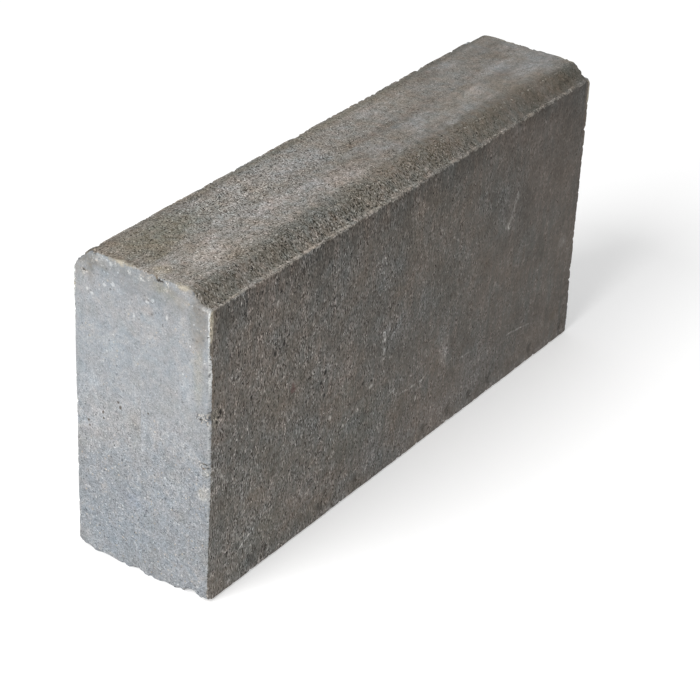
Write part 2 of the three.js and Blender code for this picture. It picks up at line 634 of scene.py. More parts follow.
class Stains:
    """The broad marks that the mesh carries, laid over a face's colour."""

    def __init__(self, made_of):
        laid = add("ShaderNodeAttribute", attribute_name=STAINS).outputs
        patchy = fade(total((made_of.wobble, 2.0), (made_of.grain, 0.4)), -0.5, 0.3, 0.5, 1.0)
        self.tint = scaled(laid["Color"], patchy)
        self.bare = times_plus(times(laid["Alpha"], patchy), -1.0, 1.0)

    def over(self, colour):
        return vector_maths("ADD", scaled(colour, self.bare), self.tint)


def drawn_out(flat, share, first, second):
    """A face's coordinates, scaled across and up by one pair of factors or, by a share, another."""
    across, up = (blend(share, a, b) for a, b in zip(first, second))
    return vector_maths("MULTIPLY", flat, joined(across, up))


class Ingredients:
    """What every face of the concrete is made of: sand, grit, pores, blotches and streaks."""

    def __init__(self, flat, on_side, on_top):
        # On the sides the grains are drawn upwards, as the mould lifted off.
        drawn = drawn_out(flat, on_side, (1.55, 1.55), (2.5, 0.82))
        fine = grouped("sand", {"Place": drawn, "Grain Size": 1.25 * MM})
        coarse = grouped("sand", {"Place": flat, "Grain Size": 2.7 * MM})
        drawn = drawn_out(flat, on_side, (1.1, 1.1), (2.4, 0.5))
        inputs = {"Place": drawn, "Spacing": 3.4 * MM, "Share": 0.20, "Radius": 0.26}
        pores = grouped("pores", inputs)
        self.grain, self.relief = fine["Tone"], fine["Height"]
        self.coarse, self.lumps = coarse["Tone"], coarse["Height"]
        self.holes, self.specks, self.tint = pores["Holes"], pores["Grains"], pores["Tint"]
        self.small = mottle(flat, 6 * MM)
        self.broad = mottle(flat, 28 * MM)
        self.drift = mottle(flat, 70 * MM)
        self.hue = mottle(vector_maths("ADD", flat, (3.0, 3.0, 0.0)), 10 * MM)
        # Streaks run up the ends and sides, and along the top.
        run = drawn_out(flat, on_top, (3.0, 0.2), (0.09, 0.4))
        self.streaks = mottle(run, 1.8 * MM)
        self.smears = mottle(run, 17 * MM)
        self.wobble = minus(noise(flat, 5 * MM, 2, 0.6, "2D"), 0.5)
        # Pores and open grain gather in some parts and leave others close and smooth.
        self.gathered = fade(total((self.broad, 1.0), (self.small, 0.5)), -0.2, 0.9)


def flat_place(place, on_top, on_end):
    """Each face's own flat coordinates, so that a pattern lies on the face as on a sheet."""
    axis = parted(place)
    end = maths("GREATER_THAN", on_end, 0.5)
    top = maths("GREATER_THAN", on_top, 0.5)
    across = blend(end, axis[0], axis[1])
    up = blend(times(top, minus(1.0, end)), axis[2], axis[1])
    # The four upright faces each take another part of the pattern.
    apart = total(
        (maths("SIGN", axis[0]), times(end, 1.7)),
        (maths("SIGN", axis[1]), minus(0.9, top)),
    )
    return joined(plus(across, apart), up)


# Where the faces lie, and how far their marks reach to either side of them, in millimetres
ROAD_FACE, ROAD_REACH = -60, 8
NEAR_END, END_REACH, SPOT_REACH = -250, 10, 3
TOP_FACE, TOP_REACH = 250, 20
CHAMFER_MIDDLE, CHAMFER_REACH = (-49, 244), 10

# Broad marks on the road face: X and Z of the middle, half sizes, colour and strength
ROAD_MARKS = [
    (49, 72, 9, 15, MOULD_BRIGHT, 0.45), (62, 73, 5, 10, MOULD_DARK_AND_SHADE, 0.7),
    (-109, 136, 5, 8, MOULD_BRIGHT, 0.4), (228, 97, 8, 6, MOULD_BRIGHT, 0.5),
    (-237, 104, 6, 6, MOULD_BRIGHT, 0.5), (227, 27, 6, 6, EARTH_BROWN, 0.7),
    (-40, 133, 8, 6, RED_BROWN, 0.8), (190, 180, 70, 70, RED_BROWN, 0.45),
    (140, 226, 30, 12, RED_BROWN, 0.6), (200, 218, 28, 14, RED_BROWN, 0.6),
    (-70, 60, 60, 30, GREEN_GREY, 0.7), (-190, 30, 40, 18, GREEN_GREY, 0.7),
    (-185, 75, 60, 50, GREEN_GREY, 0.4), (75, 20, 105, 30, MOULD_PALE, 0.33),
    (-52, 24, 14, 22, MOULD_PALE, 0.5), (95, 36, 30, 26, MOULD_PALE, 0.3),
    (-180, 6, 75, 16, GREEN_GREY, 0.7), (-180, 6, 75, 14, MOULD_DARK_AND_SHADE, 0.2),
    (205, 195, 50, 40, MOULD_DARK_AND_SHADE, 0.2), (25, 205, 32, 24, MOULD_DARK_AND_SHADE, 0.4),
    (136, 160, 20, 20, MOULD_PALE, 0.3), (-20, 122, 50, 20, MOULD_PALE, 0.15),
    (-88, 98, 13, 14, GREEN_GREY, 0.6), (60, 150, 60, 50, GREEN_GREY, 0.25),
    (-160, 140, 50, 40, MOULD_WARM, 0.5), (20, 200, 60, 30, MOULD_WARM, 0.4),
]

# Small pale spots and open pores in the road face, and its rust spot: X and Z, half sizes. The
# pores are painted near-black as the shade inside them.
ROAD_SPECKS = [
    (-38, 124, 3.6, 6.5), (-38, 112, 2.2, 4.0), (-174, 212, 2.0, 3.4), (-131, 177, 1.8, 2.6),
    (-106, 86, 2.4, 3.4), (-53, 88, 4.4, 1.8), (12, 47, 2.2, 2.6), (-69, 75, 2.4, 1.8),
    (-88, 71, 1.5, 1.8),
]
ROAD_PITS = [
    (-106, 187, 1.8, 2), (-114, 129, 2, 3.3), (-64, 96, 2.1, 2.1), (-52, 93, 1.8, 1.8),
    (-119, 122, 1.7, 2), (-114, 110, 1.7, 2.4), (-166, 176, 1.7, 2.1), (-176, 173, 1.8, 3),
    (-140, 171, 1.7, 1.7),
]
RUST_SPOT = (-153, 134, 3.4, 5.0)

# Cracks and holes of the chip on the road-side corner, painted dark as the shade inside them:
# middle and half sizes
CRACKS = [
    ((-236.7, -60, 155.0), (1.4, 3, 3.6)),
    ((-238.6, -60, 151.6), (2.4, 3, 1.5)),
    ((-241.3, -60, 148.8), (1.8, 3, 1.5)),
    ((-240.5, -60, 163.4), (1.5, 3, 1.4)),
    ((-245.3, -60, 158.4), (1.4, 3, 2.1)),
    ((-250, -61.0, 160.3), (3, 1.5, 1.6)),
    ((-250, -57.7, 155.4), (3, 1.6, 1.6)),
    ((-250, -51.5, 151.6), (3, 1.2, 1.0)),
]

# Pale scratches on the road face: X and Z of each end, width and strength
ROAD_SCRATCHES = [
    (-221, 24, -197, 37, 1.2, 0.9), (129, 152, 137, 147, 3.2, 0.5),
    (136, 147, 147, 172, 3.2, 0.75), (-28, 68, -20, 70, 1.3, 1.0),
    (-12, 62, 14, 60, 1.2, 0.6), (16, 58, 27, 64, 1.4, 1.0),
    (72, 54, 88, 53, 1.2, 0.8), (148, 43, 184, 38, 1.3, 0.8),
    (-241, 112, -231, 95, 2.0, 0.6), (52, 172, 60, 166, 1.0, 0.8),
]


def on_road(rows):
    """Spots given by X, Z and half sizes, as places and sizes on the road face."""
    return [((x, ROAD_FACE, z), (half_x, ROAD_REACH, half_z)) for x, z, half_x, half_z in rows]


def on_near_end(rows):
    """Spots given by Y, Z and half sizes, as places and sizes on the near end."""
    return [((NEAR_END, y, z), (SPOT_REACH, half_y, half_z)) for y, z, half_y, half_z in rows]


def mould_face(place, made_of, stains, fineness):
    """The sides, pressed against the mould: dark, fine, drawn upwards as the mould lifted off."""
    along, _, height = parted(place)
    # Painted shade: the band just under the ledge's lip is darkened, less so towards either end.
    shade_under_lip = fade(height, LEDGE_HEIGHT - 29 * MM, LEDGE_HEIGHT - 12 * MM, 0.0, 0.66)
    shade_under_lip = times(shade_under_lip, fade(along, 170 * MM, 225 * MM, 1.0, 0.5))
    shade_under_lip = times(shade_under_lip, fade(along, -245 * MM, -205 * MM, 0.6, 1.0))
    reddish = total((made_of.smears, 0.7), (made_of.hue, 0.4), (made_of.drift, 0.6))
    reddish = plus(reddish, fade(along, -100 * MM, HALF_LENGTH, 0.0, 0.5))
    greenish = total((made_of.broad, 0.9), (made_of.smears, -0.8), (made_of.drift, -0.4))
    colour = layered(
        mix(shade_under_lip, MOULD_GREY, MOULD_DARK_AND_SHADE),
        (fade(reddish, 0.0, 0.9, 0.0, 0.35), RED_BROWN),
        (fade(greenish, 0.0, 0.9, 0.0, 0.4), GREEN_GREY),
    )
    specks = spots(place, on_road(ROAD_SPECKS), made_of.wobble)
    pits = spots(place, on_road(ROAD_PITS), made_of.wobble)
    rust = spots(place, on_road([RUST_SPOT]), times(made_of.wobble, 2.0))
    # Painted shade in the shallow dents near the foot of the road face.
    dent_shade = [(x, DENT_HEIGHT + 1, half_x + 0.6, half_z * 1.5) for x, half_x, half_z in DENTS]
    dent_shade = spots(place, on_road(dent_shade), times(made_of.wobble, 2.0))
    bent = vector_maths("ADD", place, times(made_of.wobble, 3 * MM))
    scratches = 0.0
    for x, z, end_x, end_z, width, share in ROAD_SCRATCHES:
        line = scratch(bent, (x, ROAD_FACE, z), (end_x, ROAD_FACE, end_z), width)
        scratches = times_plus(line, share, scratches)
    broken = fade(total((made_of.coarse, 0.5), (made_of.grain, 0.5)), -0.5, 0.5, 0.25, 0.7)
    foot = fade(times_plus(made_of.wobble, 8 * MM, height), 8 * MM, 5 * MM)
    foot = times(foot, fade(made_of.small, -0.5, 0.5, 0.0, 0.5))
    # Pits and dents are painted dark: painted shade inside them.
    colour = layered(
        stains.over(colour),
        (times(specks, 0.6), SPECK_PALE),
        (pits, HOLE_SHADE),
        (times(rust, 0.8), RUST_RED),
        (times(dent_shade, 0.42), HOLE_SHADE),
        (times(scratches, broken), SPECK_PALE),
        (foot, MOULD_PALE),
    )

    rough = total((made_of.broad, 0.5), (made_of.small, 0.8), (made_of.smears, 0.5))
    rough = fade(rough, -0.6, 1.2, 0.45, 1.7)
    fine = times(times(fineness, fade(shade_under_lip, 0, 1, 1.0, 1.15)), rough)
    calm = times(fade(along, -215 * MM, -245 * MM, 0.0, -0.4), fade(height, 130 * MM, 190 * MM))
    fine = times_plus(fine, calm, fine)
    # The pores are darkened in tone as well as sunk by the bump: painted shade in them.
    holes = times(made_of.holes, fade(made_of.gathered, 0, 1, 0.3, 1.0))
    lines = fade(along, -40 * MM, 150 * MM, 0.74, 0.3)
    grit = total(
        (made_of.grain, 1.08),
        (made_of.streaks, lines),
        (holes, -0.25),
        (made_of.specks, 0.3),
        (made_of.coarse, fade(along, 0, 180 * MM, 0.0, 0.35)),
    )
    tone = total(
        (made_of.small, 0.08),
        (made_of.broad, 0.13),
        (made_of.smears, fade(along, -50 * MM, 150 * MM, 0.1, 0.05)),
        (made_of.drift, 0.09),
        (fade(along, -HALF_LENGTH, HALF_LENGTH, 0.0, -0.19), 1.0),
        # Lighter towards the foot and darker higher up: partly painted bounce light from the floor.
        (fade(height, 50 * MM, 200 * MM, 1.02, 0.91), 1.0),
        (fade(height, 40 * MM, 4 * MM), 0.08),
        (fade(along, 205 * MM, HALF_LENGTH), -0.09),
    )
    return gritty(colour, tone, times(grit, times(fine, 1.06)))


# Broad marks on the near end: Y and Z of the middle, half sizes, colour and strength
END_MARKS = [
    (-40, 170, 8, 14, SKIN_PALE, 0.5), (-36, 150, 8, 8, SKIN_PALE, 0.3),
    (7, 151, 9, 8, SKIN_PALE, 0.4), (44, 149, 12, 5, SKIN_PALE, 0.6),
    (46, 140, 7, 6, SKIN_PALE, 0.4), (20, 135, 9, 8, SKIN_PALE, 0.5),
    (34, 123, 8, 6, SKIN_PALE, 0.5), (48, 112, 8, 7, SKIN_PALE, 0.5),
    (-50, 190, 5, 34, SKIN_BEIGE, 0.8), (-51, 200, 7, 44, SKIN_DIRTY, 0.14),
    (-50, 227, 10, 26, SKIN_DIRTY, 0.82), (0, 120, 70, 45, SKIN_PALE, 0.12),
    (-24, 76, 22, 26, SKIN_PALE, 0.2), (-14, 220, 10, 8, SKIN_LOW_GREY, 0.6),
    (24, 235, 14, 7, SKIN_LOW_GREY, 0.4), (10, 60, 16, 9, SKIN_BLUE, 0.8),
    (48, 92, 10, 9, SKIN_PALE, 0.4), (-32, 92, 12, 9, SKIN_PALE, 0.4),
    (14, 124, 9, 8, SKIN_PALE, 0.3), (2, 108, 9, 8, SKIN_PALE, 0.3),
    (46, 14, 9, 9, SKIN_PALE, 0.4), (16, 243, 12, 4, SKIN_DIRTY, 0.3),
    (15, 239, 16, 4, SKIN_BLUE, 0.5), (6, 232, 10, 4, SKIN_BLUE, 0.6),
    (-7, 220, 8, 5, SKIN_PINK, 0.7), (-35, 237, 8, 6, SKIN_BEIGE, 0.5),
    (46, 241, 11, 7, SKIN_DIRTY, 0.9), (0, 238, 60, 11, SKIN_DIRTY, 0.32),
    (44, 232, 4, 9, SKIN_DIRTY, 0.6), (31, 241, 8, 5, SKIN_DIRTY, 0.6),
    (-17, 242, 10, 6, STAIN_OLIVE, 0.7), (-28, 240, 7, 5, STAIN_OLIVE, 0.5),
    (20, 215, 4, 30, SKIN_LOW_GREY, 0.5), (-55.5, 92, 6, 7, PEBBLE_BEIGE, 0.7),
    (-57.5, 111, 4, 6, PEBBLE_BEIGE, 0.6), (36, 246, 8, 4, PEBBLE_BEIGE, 0.4),
]

# Small shells and open pores in the near end, and its rust spot: Y and Z, half sizes. The pores,
# and the slot above the chip, are painted dark as the shade inside them.
END_SPECKS = [
    (24, 230, 1.7, 2.1), (32, 227, 1.6, 1.8), (-11, 230, 1.6, 1.8), (-6, 227, 2.3, 1.4),
    (5.6, 212, 1.4, 3), (-23, 221, 1.4, 2.9), (43, 217, 2.1, 1.4), (47, 219, 1.4, 1.6),
    (38, 244, 1.6, 1.2),
]
END_PITS = [
    (20.5, 137.5, 1.6, 1.4), (18.5, 134, 1.4, 1.6), (34.5, 124, 1.3, 1.6), (34, 119.5, 1.2, 1.4),
    (48, 112.5, 1.4, 1.7), (47, 108.5, 1.4, 1.4), (-56, 117.5, 3.4, 1.3), (-6.5, 139, 1, 1),
]
END_RUST = (-55.5, 114, 1.7, 1.4)


def end_skin(place, made_of, stains, open_sand, from_top):
    """The ends: a pale blue-grey skin of cement above, opening to coarse sand lower down."""
    axis = parted(place)
    height = axis[2]
    beige = fade(total((made_of.broad, 1.0), (made_of.small, 0.6)), 0.1, 0.9)
    skin = mix(open_sand, SKIN_GREY, SKIN_LOW_GREY)
    skin = mix(times(beige, 0.32), skin, SKIN_BEIGE)
    small_marks = (END_SPECKS, END_PITS, [END_RUST])
    specks, pits, rust = (spots(place, on_near_end(rows), made_of.wobble) for rows in small_marks)
    grainy = fade(made_of.grain, -0.5, 0.5, 0.2, 1.0)
    dirt_reach = total((from_top, 1.0), (made_of.small, 4 * MM), (made_of.smears, -5 * MM))
    dirt = fade(dirt_reach, 17 * MM, 3 * MM)
    smears = total((made_of.small, 0.9), (made_of.coarse, 0.5), (made_of.smears, 1.2))
    smeared = fade(smears, -0.7, 0.5, 0.05, 1.0)
    across = maths("ABSOLUTE", axis[1])
    smeared = times(smeared, fade(across, 50 * MM, 57 * MM, 1.0, 0.4))
    dirt = times(times(dirt, smeared), grainy)
    shell = mix(fade(made_of.tint, 0.4, 0.6), SHELL_WHITE, SHELL_TAN)
    few = fade(made_of.gathered, 0.3, 0.7, 0.15, 1.0)
    few = times(made_of.specks, larger(few, open_sand))
    # The pores are painted dark: painted shade inside them.
    colour = layered(
        stains.over(skin),
        (times(specks, 0.6), SHELL_WHITE),
        (pits, MOULD_DARK_AND_SHADE),
        (rust, RUST_ORANGE),
        (dirt, SKIN_DIRTY),
        (times(few, 0.6), shell),
    )
    grit = total(
        (made_of.grain, fade(height, 180 * MM, 90 * MM, 0.19, 0.37)),
        (times(dirt, made_of.grain), 0.8),
        (times(dirt, made_of.coarse), 0.7),
        (made_of.coarse, fade(height, 180 * MM, 90 * MM, 0.04, 0.08)),
        # The pores are also darkened in tone: painted shade in them.
        (times(made_of.holes, made_of.gathered), -0.4),
    )
    tone = total(
        (made_of.small, 0.07),
        (made_of.broad, 0.05),
        (made_of.streaks, 0.05),
        (made_of.smears, 0.05),
    )
    return gritty(colour, plus(tone, 1.0), grit)


# Smoother pale cement and darker streaks on the top: X and Y, half sizes, colour and strength
TOP_MARKS = [
    (78, -40, 135, 14, GREEN_GREY, 0.6), (78, -41, 135, 13, EARTH_BROWN, 0.72),
    (-18, -39, 30, 8, EARTH_BROWN, 0.4), (-115, -40, 95, 8, GREEN_GREY, 0.9),
    (-165, 41, 120, 7.5, MOULD_GREY, 0.85), (-40, 41, 60, 6, MOULD_GREY, 0.5),
    (232, 4, 14, 24, TOP_PALE, 0.45), (-122, 13, 20, 9, TOP_PALE, 0.5),
    (70, -24, 30, 6, TOP_BROWN, 0.35), (-203, -22, 24, 13, TOP_PALE, 0.95),
    (-108, -9, 34, 7, TOP_PINK, 0.85), (-46, -21, 32, 13, TOP_PINK, 0.75),
    (-80, -15, 26, 8, TOP_PALE, 0.4), (-188, -8, 14, 6, TOP_PALE, 0.6),
    (-95, 20, 60, 16, TOP_PALE, 0.4), (-45, 14, 34, 11, TOP_PALE, 0.2),
    (53, -17, 15, 6, TOP_PALE, 0.55), (85, -31, 9, 5, TOP_PALE, 0.75),
    (140, -13, 20, 9, TOP_PALE, 0.9), (192, 0, 38, 5, TOP_PALE, 0.75),
    (210, -23, 15, 7, TOP_PALE, 0.75), (60, 28, 70, 9, TOP_PALE, 0.35),
    (175, 30, 12, 8, TOP_PALE, 0.5), (47, 2, 62, 6, TOP_BROWN, 0.7),
    (10, -17, 75, 13, TOP_BROWN, 0.4), (103, 4, 26, 7, TOP_BROWN, 0.5),
    (-16, 0, 16, 5, TOP_OLIVE, 0.35), (188, -12, 13, 6, TOP_BROWN, 0.8),
    (-200, 22, 54, 22, TOP_OLIVE, 0.95), (-228, 3, 17, 8, TOP_OLIVE, 0.8),
    (222, 25, 26, 18, TOP_BROWN, 0.35), (145, 33, 14, 8, TOP_BROWN, 0.5),
    (0, 41, 250, 4.5, TOP_OLIVE, 0.6), (-246, 20, 3.5, 26, EARTH_BROWN, 0.7),
    (-240, -12, 8, 8, STAIN_BEIGE, 0.8), (-243.5, -12.5, 3.2, 4, PEBBLE_BEIGE, 0.8),
]

# Earthy stains on the road-side chamfer: X of the middle, half length, strength
CHAMFER_STAINS = [(-243, 9, 0.45), (-200, 22, 0.3), (-50, 26, 0.4), (43, 34, 0.5), (205, 50, 0.6)]


def pressed_top(place, made_of, stains, fineness):
    """The top and its chamfers: open, gritty concrete, smoother and paler along the middle, with
    the chamfers painted darker as shade.
    """
    axis = parted(place)
    side = maths("ABSOLUTE", axis[1])
    wavy = times_plus(made_of.broad, 2.0 * MM, side)
    on_chamfer = fade(wavy, CHAMFER_HEAD - 6 * MM, CHAMFER_HEAD)
    off_band = maths("ABSOLUTE", plus(axis[1], 17 * MM))
    smooth = fade(off_band, 24 * MM, 8 * MM)
    worked = total((made_of.streaks, 0.45), (made_of.broad, 0.7), (made_of.small, 0.35))
    worked = fade(worked, -0.3, 0.9, 0.0, 0.3)
    hue = total((made_of.drift, 0.8), (made_of.broad, 0.5))
    warm = fade(total((made_of.small, 1.0), (made_of.broad, 0.6)), 0.0, 0.8, 0.0, 0.6)
    colour = layered(
        mix(times(smooth, worked), TOP_GREY, TOP_PALE),
        (fade(hue, 0.1, 0.8, 0.0, 0.35), TOP_OLIVE),
        (fade(hue, -0.1, -0.8, 0.0, 0.35), TOP_PINK),
        # Painted shade: the chamfers are coloured darker than the top.
        (on_chamfer, CHAMFER_SHADED_GREY),
        (times(warm, on_chamfer), CHAMFER_SHADED_WARM),
    )

    fine = times(fineness, fade(smooth, 0, 1, 1.0, 0.8))
    fine = times(fine, fade(axis[0], -HALF_LENGTH, -130 * MM, 0.72, 1.06))
    edge_fine = times(on_chamfer, fade(axis[0], -40 * MM, 160 * MM, 1.15, 0.3))
    edge_fine = times(edge_fine, fade(axis[0], -HALF_LENGTH, -100 * MM, 0.7, 1.0))
    fine = larger(fine, edge_fine)
    # The pores are darkened in tone as well as sunk by the bump: painted shade in them.
    holes = times(made_of.holes, fade(made_of.gathered, 0, 1, 0.4, 1.0))
    grit = total(
        (made_of.grain, 1.08), (made_of.streaks, 0.1), (holes, -0.25), (made_of.specks, 0.2)
    )
    tone = total(
        (made_of.small, blend(on_chamfer, 0.12, 0.07)),
        (made_of.broad, 0.14),
        (made_of.smears, 0.10),
        (made_of.streaks, 0.06),
        (fade(axis[0], -HALF_LENGTH, HALF_LENGTH, 1.07, 0.92), 1.0),
    )
    middle = fade(maths("ABSOLUTE", axis[0]), 170 * MM, 60 * MM, 0.0, 0.08)
    middle = plus(middle, fade(axis[0], 120 * MM, HALF_LENGTH, 0.0, -0.07))
    tone = times_plus(middle, on_chamfer, tone)
    return gritty(stains.over(colour), tone, times(grit, fine)), smooth


def broken_face(made_of, on_end):
    """Where the stone has broken: bare mortar with small pebbles in it, greyer on the ends."""
    warm = mix(made_of.tint, SHELL_TAN, PEBBLE_BEIGE)
    mortar = mix(on_end, BROKEN_GREY, SKIN_LOW_GREY)
    colour = mix(fade(made_of.grain, 0.1, 0.6, 0.0, 0.7), mortar, warm)
    # The darkest grains are partly painted shade between the pebbles of the break.
    colour = mix(fade(made_of.grain, -0.1, -0.6, 0.0, 0.5), colour, MOULD_DARK_AND_SHADE)
    tone = total((made_of.grain, 0.38), (made_of.small, 0.08))
    return scaled(colour, larger(plus(tone, 1.0), 0.2))


# Where the skin has opened without falling away: middle and half sizes
OPENED_PATCHES = [
    ((-250, -54, 153.5), (4, 7.0, 4.2)),
    ((-242, -60, 153), (8, 4, 8)),
    ((-250, -56, 116), (4, 5, 3)),
]

# The mesh attribute that carries the broad marks
STAINS = "stains"


def broad_marks():
    """Every broad mark as its middle, half sizes, colour and strength, on the stone itself."""
    for x, z, half_x, half_z, tint, share in ROAD_MARKS:
        yield (x, ROAD_FACE, z), (half_x, ROAD_REACH, half_z), tint, share
    for y, z, half_y, half_z, tint, share in END_MARKS:
        yield (NEAR_END, y, z), (END_REACH, half_y, half_z), tint, share
    for x, y, half_x, half_y, tint, share in TOP_MARKS:
        yield (x, y, TOP_FACE), (half_x, half_y, TOP_REACH), tint, share
    for x, half_x, share in CHAMFER_STAINS:
        yield (x, *CHAMFER_MIDDLE), (half_x, CHAMFER_REACH, CHAMFER_REACH), EARTH_BROWN, share


def lay_stains(mesh):
    """Stores the broad marks' colour at each point, weighed by its strength, which is the alpha."""
    places = np.empty(len(mesh.vertices) * 3)
    mesh.vertices.foreach_get("co", places)
    places = places.reshape(-1, 3) / MM
    laid = np.zeros((len(places), 4))
    for middle, half_size, tint, share in broad_marks():
        reach = np.linalg.norm((places - middle) / half_size, axis=1)
        mask = np.clip((SPOT_RIM - reach) / (SPOT_RIM - SPOT_CORE), 0, 1)[:, None]
        mask = share * mask * mask * (3 - 2 * mask)
        laid = laid * (1 - mask) + mask * np.array([*tint, 1.0])
    mesh.attributes.new(STAINS, "FLOAT_COLOR", "POINT").data.foreach_set("color", laid.ravel())


def weathered_concrete():
    """The one material: each face's finish, parted along the arrises by depth below the faces."""
    material = bpy.data.materials.new("weathered_concrete")
    material.use_nodes = True
    tree = begin(material.node_tree)
    shader = tree.nodes["Principled BSDF"]
    place = add("ShaderNodeTexCoord").outputs["Object"]
    axis = parted(place)
    along = maths("ABSOLUTE", axis[0])
    across = maths("ABSOLUTE", axis[1])

    # Depths below the stone as cast
    from_end = minus(HALF_LENGTH, along)
    from_side = minus(HALF_WIDTH, across)
    roof = ramp(across, CHAMFER_HEAD, CHAMFER_FOOT, HEIGHT, LEDGE_HEIGHT)
    from_top = minus(roof, axis[2])
    ragged = times(minus(noise(place, 3.2 * MM, 2), 0.5), 2.6 * MM)

    def nearer(first, second):
        gap = plus(minus(second, first), ragged)
        return fade(gap, -0.3 * MM, 0.3 * MM)

    on_top = nearer(from_top, from_side)
    rim = times_plus(minus(noise(place, 1.8 * MM, 1), 0.5), 3.2 * MM, from_end)
    lap = times(
        fade(axis[2], 15 * MM, 110 * MM, 0.3 * MM, 2.7 * MM),
        fade(axis[2], 212 * MM, 192 * MM),
    )
    lap = times(lap, fade(axis[0], 1 * MM, -1 * MM))
    back_lap = fade(axis[1], 44 * MM, 54 * MM, 0.0, 8.0 * MM)
    back_lap = times(back_lap, fade(axis[2], 226 * MM, 234 * MM))
    front_lap = fade(axis[1], -50 * MM, -56 * MM, 0.0, 3.0 * MM)
    lapped = minus(minus(rim, lap), back_lap)
    capped = minus(rim, plus(back_lap, front_lap))
    on_end = times(nearer(lapped, from_side), nearer(capped, from_top))
    on_side = times(minus(1.0, on_top), minus(1.0, on_end))
    depth = maths("MINIMUM", maths("MINIMUM", from_end, from_side), from_top)
    depth = maths("MINIMUM", depth, axis[2])
    broken = fade(times_plus(ragged, 0.4, depth), 1.2 * MM, 1.8 * MM)
    fineness = fade(axis[0], -HALF_LENGTH, HALF_LENGTH, 1.04, 0.22)
    behind = fade(axis[1], HALF_WIDTH - 4 * MM, HALF_WIDTH - 1 * MM, 0.0, 0.75)
    fineness = larger(fineness, behind)

    flat = flat_place(place, on_top, on_end)
    made_of = Ingredients(flat, on_side, on_top)
    stains = Stains(made_of)
    slope = times_plus(made_of.broad, 14 * MM, axis[2])
    slope = times_plus(axis[1], 0.35, slope)
    open_sand = fade(slope, 135 * MM, 85 * MM)
    sides = mould_face(place, made_of, stains, fineness)
    top, smooth = pressed_top(place, made_of, stains, fineness)
    end = end_skin(place, made_of, stains, open_sand, from_top)
    chips = broken_face(made_of, on_end)
    opened = spots(place, OPENED_PATCHES, times(made_of.wobble, 2.4))
    broken = larger(broken, times(opened, 0.85))

    # Arrises: a jagged white line up the road-side corner, partly pale worn concrete and partly a
    # painted highlight where the rounded edge catches the light, with a beige strip beside it
    patchy = fade(noise(place, 9 * MM, 2), 0.40, 0.56)
    upper = fade(axis[2], 165 * MM, 198 * MM, 0.26, 1.0)
    torn = times_plus(made_of.grain, 0.8 * MM, ragged)
    side_reach = times_plus(torn, 0.7, from_side)
    close_side = fade(side_reach, 2.2 * MM, 1.4 * MM)
    white_line_and_highlight = times(times(close_side, on_end), upper)
    white_line_and_highlight = times(white_line_and_highlight, fade(patchy, 0, 1, 0.65, 1.0))
    cap = patch(place, (-250, -57, 238.6), (4, 5.5, 2.2), made_of.wobble)
    white_line_and_highlight = larger(white_line_and_highlight, times(cap, 0.34))
    strip_width = plus(
        fade(axis[2], 172 * MM, 182 * MM, 0.0, 1.2 * MM),
        fade(axis[2], 208 * MM, 222 * MM, 0.0, 2.8 * MM),
    )
    torn_end = plus(from_end, torn)
    strip = minus(torn_end, strip_width)
    beige_strip = times(fade(strip, 0.4 * MM, -0.4 * MM), on_side)
    brown_width = fade(axis[2], 140 * MM, 165 * MM, 0.0, 3.0 * MM)
    brown_strip = minus(minus(torn_end, brown_width), larger(strip_width, lap))
    brown_edge = times(fade(brown_strip, 0.8 * MM, -0.4 * MM), on_side)
    strip_tint = mix(fade(made_of.grain, -0.5, 0.3), ARRIS_BROWN, ARRIS_BEIGE)
    strip_tint = scaled(strip_tint, times_plus(made_of.grain, 0.3, 1.0))

    # A beige line in two stretches along the end's top edge, and the slot of a plucked pebble,
    # painted dark as the shade inside it
    mirrored = joined(along, axis[1], axis[2])
    wobble = total((made_of.wobble, 2.0), (made_of.grain, 0.35))
    beige_line = 0.0
    for y, half_y in ((17.5, 11), (-37.4, 8)):
        stretch = patch(mirrored, (250, y, 249.2), (4, half_y, 2.6), wobble)
        beige_line = larger(beige_line, stretch)
    slot = patch(place, (-250, -17, 246.9), (4, 2.8, 1.0), wobble)
    hollow = patch(place, (-249.5, -13.7, 249.4), (2.4, 2.2, 2), wobble)

    # The ledge: a pale lip with a torn lower edge, duller towards the far end; its paleness is
    # partly a painted highlight on the up-facing ledge
    lip_width = fade(axis[0], -HALF_LENGTH, -195 * MM, -1.9 * MM, -3.2 * MM)
    inside = total((ragged, 0.8), (from_side, 1.0), (lip_width, 1.0))
    on_ledge = fade(inside, 0.4 * MM, -0.4 * MM)
    lip = times_plus(ragged, 1.6, axis[2])
    lip = fade(lip, LEDGE_HEIGHT - 2.2 * MM, LEDGE_HEIGHT - 1.2 * MM)
    jagged = fade(total((made_of.coarse, 0.8), (made_of.grain, 0.5)), -0.6, 0.3, 0.1, 1.0)
    lip = times(times(on_ledge, lip), jagged)
    lip_tone = total((made_of.grain, 0.38), (made_of.small, 0.15), (patchy, 0.3))
    lip_tone = plus(lip_tone, fade(axis[0], -HALF_LENGTH, HALF_LENGTH, 0.92, 0.50))

    # The concrete's own drift of hue: warmer, greener and bluer parts
    swing = fade(axis[0], -100 * MM, HALF_LENGTH, 1.0, 0.5)
    swing = blend(on_end, blend(on_top, swing, 1.4), 0.9)
    warmth = total((made_of.hue, 0.7), (made_of.drift, 0.8), (made_of.broad, -0.4))
    warmth = times_plus(made_of.small, 0.4, warmth)
    coolness = total((made_of.broad, 0.8), (made_of.drift, -0.6), (made_of.hue, -0.4))
    red, blue = (times_plus(times(amount, swing), 0.05, 1.0) for amount in (warmth, coolness))
    tint = joined(red, 1.0, blue)

